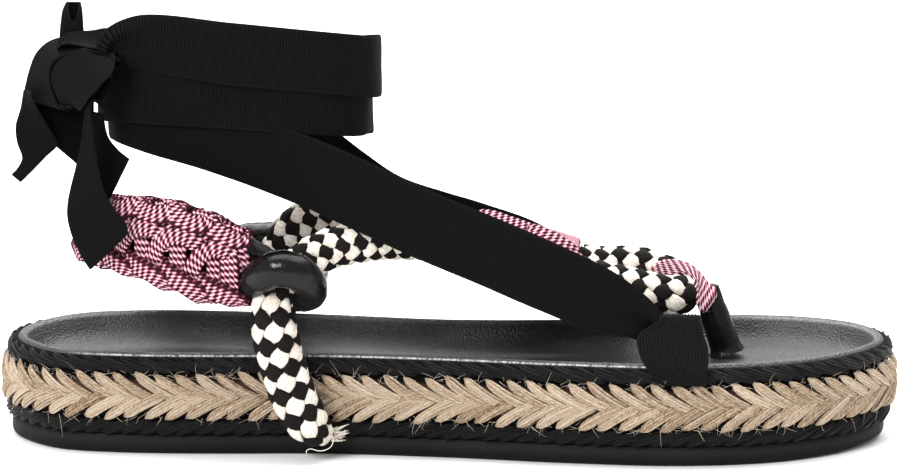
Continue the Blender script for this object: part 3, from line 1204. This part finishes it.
def make_ties():
    first = OUTER_TURNS[0][0]
    outer = [turn_row(a, z, TURN_GROWTH * (first - a) / 360, width) for a, z, width in OUTER_TURNS]
    inner = [turn_row(*row) for row in INNER_TURNS]
    make_tie("ankle_tie_outer", "tie_outer", OUTER_TIE + outer + OUTER_END, 9.0)
    make_tie("ankle_tie_inner", "tie_inner", INNER_TIE + inner + [INNER_END], 10.0)


# ---- bow

def ribbon_piece(name, parts, material, nodes=(), wave=None, bulge=0.0):
    """One piece made of stretches of ribbon, each given by its two edges."""
    build = Build()
    for rows in parts:
        route = smooth(between(rows), 0.8)
        strip(build, route, RIBBON_THICKNESS, cells=28, wave=wave, square=False, bulge=bulge)
    return build.piece(name, [material], nodes, sharp=60)


def make_knot():
    """The core of the knot, a bunched lump of ribbon that the wraps lie on."""
    build = Build()
    rings, count = 40, 48
    polar = np.linspace(0.04, math.pi - 0.04, rings)[:, None]
    turn = circle(count)
    folds = 1 + 0.06 * np.sin(5 * turn + 1.3 * np.cos(polar * 2)) * np.sin(polar)
    x, y = (squared(wave, 0.85) * np.sin(polar) ** 0.7 * folds for wave in (np.cos(turn), np.sin(turn)))
    points = np.stack([x, y, np.cos(polar) + 0 * turn], axis=-1)[::-1] * KNOT_HALF + KNOT_CENTRE
    build.grid(points, grain_map(polar * 9.0, np.full(count + 1, 3.0)))
    return build.piece("bow_knot_core", [RIBBON], ["bow_knot"])


def make_upright():
    """The end that stands up from the knot, folded along its length and open at the top."""
    build = Build()
    route = smooth(BOW_UP, 0.6)
    count = 40
    turn = circle(count)
    share = lengths(route)[:, None] / lengths(route)[-1]
    x, y, z, wide, deep = route.T[..., None]
    pinch = np.sin(turn) * (0.75 + 0.25 * np.cos(2 * turn))
    height = z - 5.4 * np.clip(-np.sin(turn), 0, 1) * share**2
    for wall, slot, order in ((0.0, 0, 1), (0.8, 1, -1)):
        rings = [x + (wide / 2 - wall) * np.cos(turn), y + (deep / 2 - wall) * pinch, height]
        rings = np.stack(rings, axis=-1)[::order]
        build.grid(rings, grain_map(rings[:, :1, 2], np.linspace(-9, 9, count + 1)), caps=False, slot=slot)
    # The rim between the two walls
    low = (len(route) - 1) * count
    for i in range(count):
        j = (i + 1) % count
        build.face((low + i, low + j, low + count + j, low + count + i), [(0.0, 9.5)] * 4)
    return build.piece("bow_end_up", [KNOT, SHADED], ["bow_up"], sharp=60)


def make_bow():
    """The long ribbon, the line of its middle, and the bow's other pieces."""
    others = [
        make_knot(),
        ribbon_piece("bow_knot_wrap", [KNOT_WRAP, KNOT_OVER], KNOT, wave=undulate(0.3, 4.0), bulge=-1.2),
        ribbon_piece("bow_loop_inner", [BOW_INNER], SHADED),
        ribbon_piece("bow_tail_rear", [TAIL_REAR], TAIL, ["tail_rear"], undulate(0.4, 4.0)),
        ribbon_piece("bow_tail_left", [TAIL_LEFT], TAIL, ["tail_left"], undulate(0.5, 5.0)),
        ribbon_piece("bow_tail_under", [TAIL_UNDER], SHADED, wave=undulate(0.4, 5.0)),
        make_upright(),
    ]
    path = BOW_LOOP + BOW_THROUGH + TAIL_MAIN
    main = ribbon_piece("bow_ribbon", [path], TAIL, ["bow_loop", "tail_main"], undulate(0.3, 6.0))
    return main, smooth(between(path), 1.0)[:, :3], others


make_camera()
make_stage()
bow, bow_line, bow_parts = make_bow()
make_outsole()
make_jute()
make_black_braid("upper_black_braid", "braid_upper", 25.2, 29.6, down=True, inset=1.6, shades=(0.1, 1.0))
make_black_braid("lower_black_braid", "braid_lower", 6.3, 11.1, down=False, inset=2.1, shades=(0.0, 0.35))
make_footbed()
make_rope()
make_ring("ring_outer_leather", "ring_outer", RING)
make_ring("ring_inner_leather", "ring_inner", INNER_RING)
make_post()
make_heel_band()
make_toe_cord()
make_instep_knot()
make_web_loop("web_loop_outer_webbing", "web_loop_outer", OUTER_LOOP, 0.0)
make_web_loop("web_loop_inner_webbing", "web_loop_inner", inner_loop(), INNER_LOOP_SLOPE)
make_ties()
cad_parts["midsole"].data.materials.clear()
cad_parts["midsole"].data.materials.append(CORE)
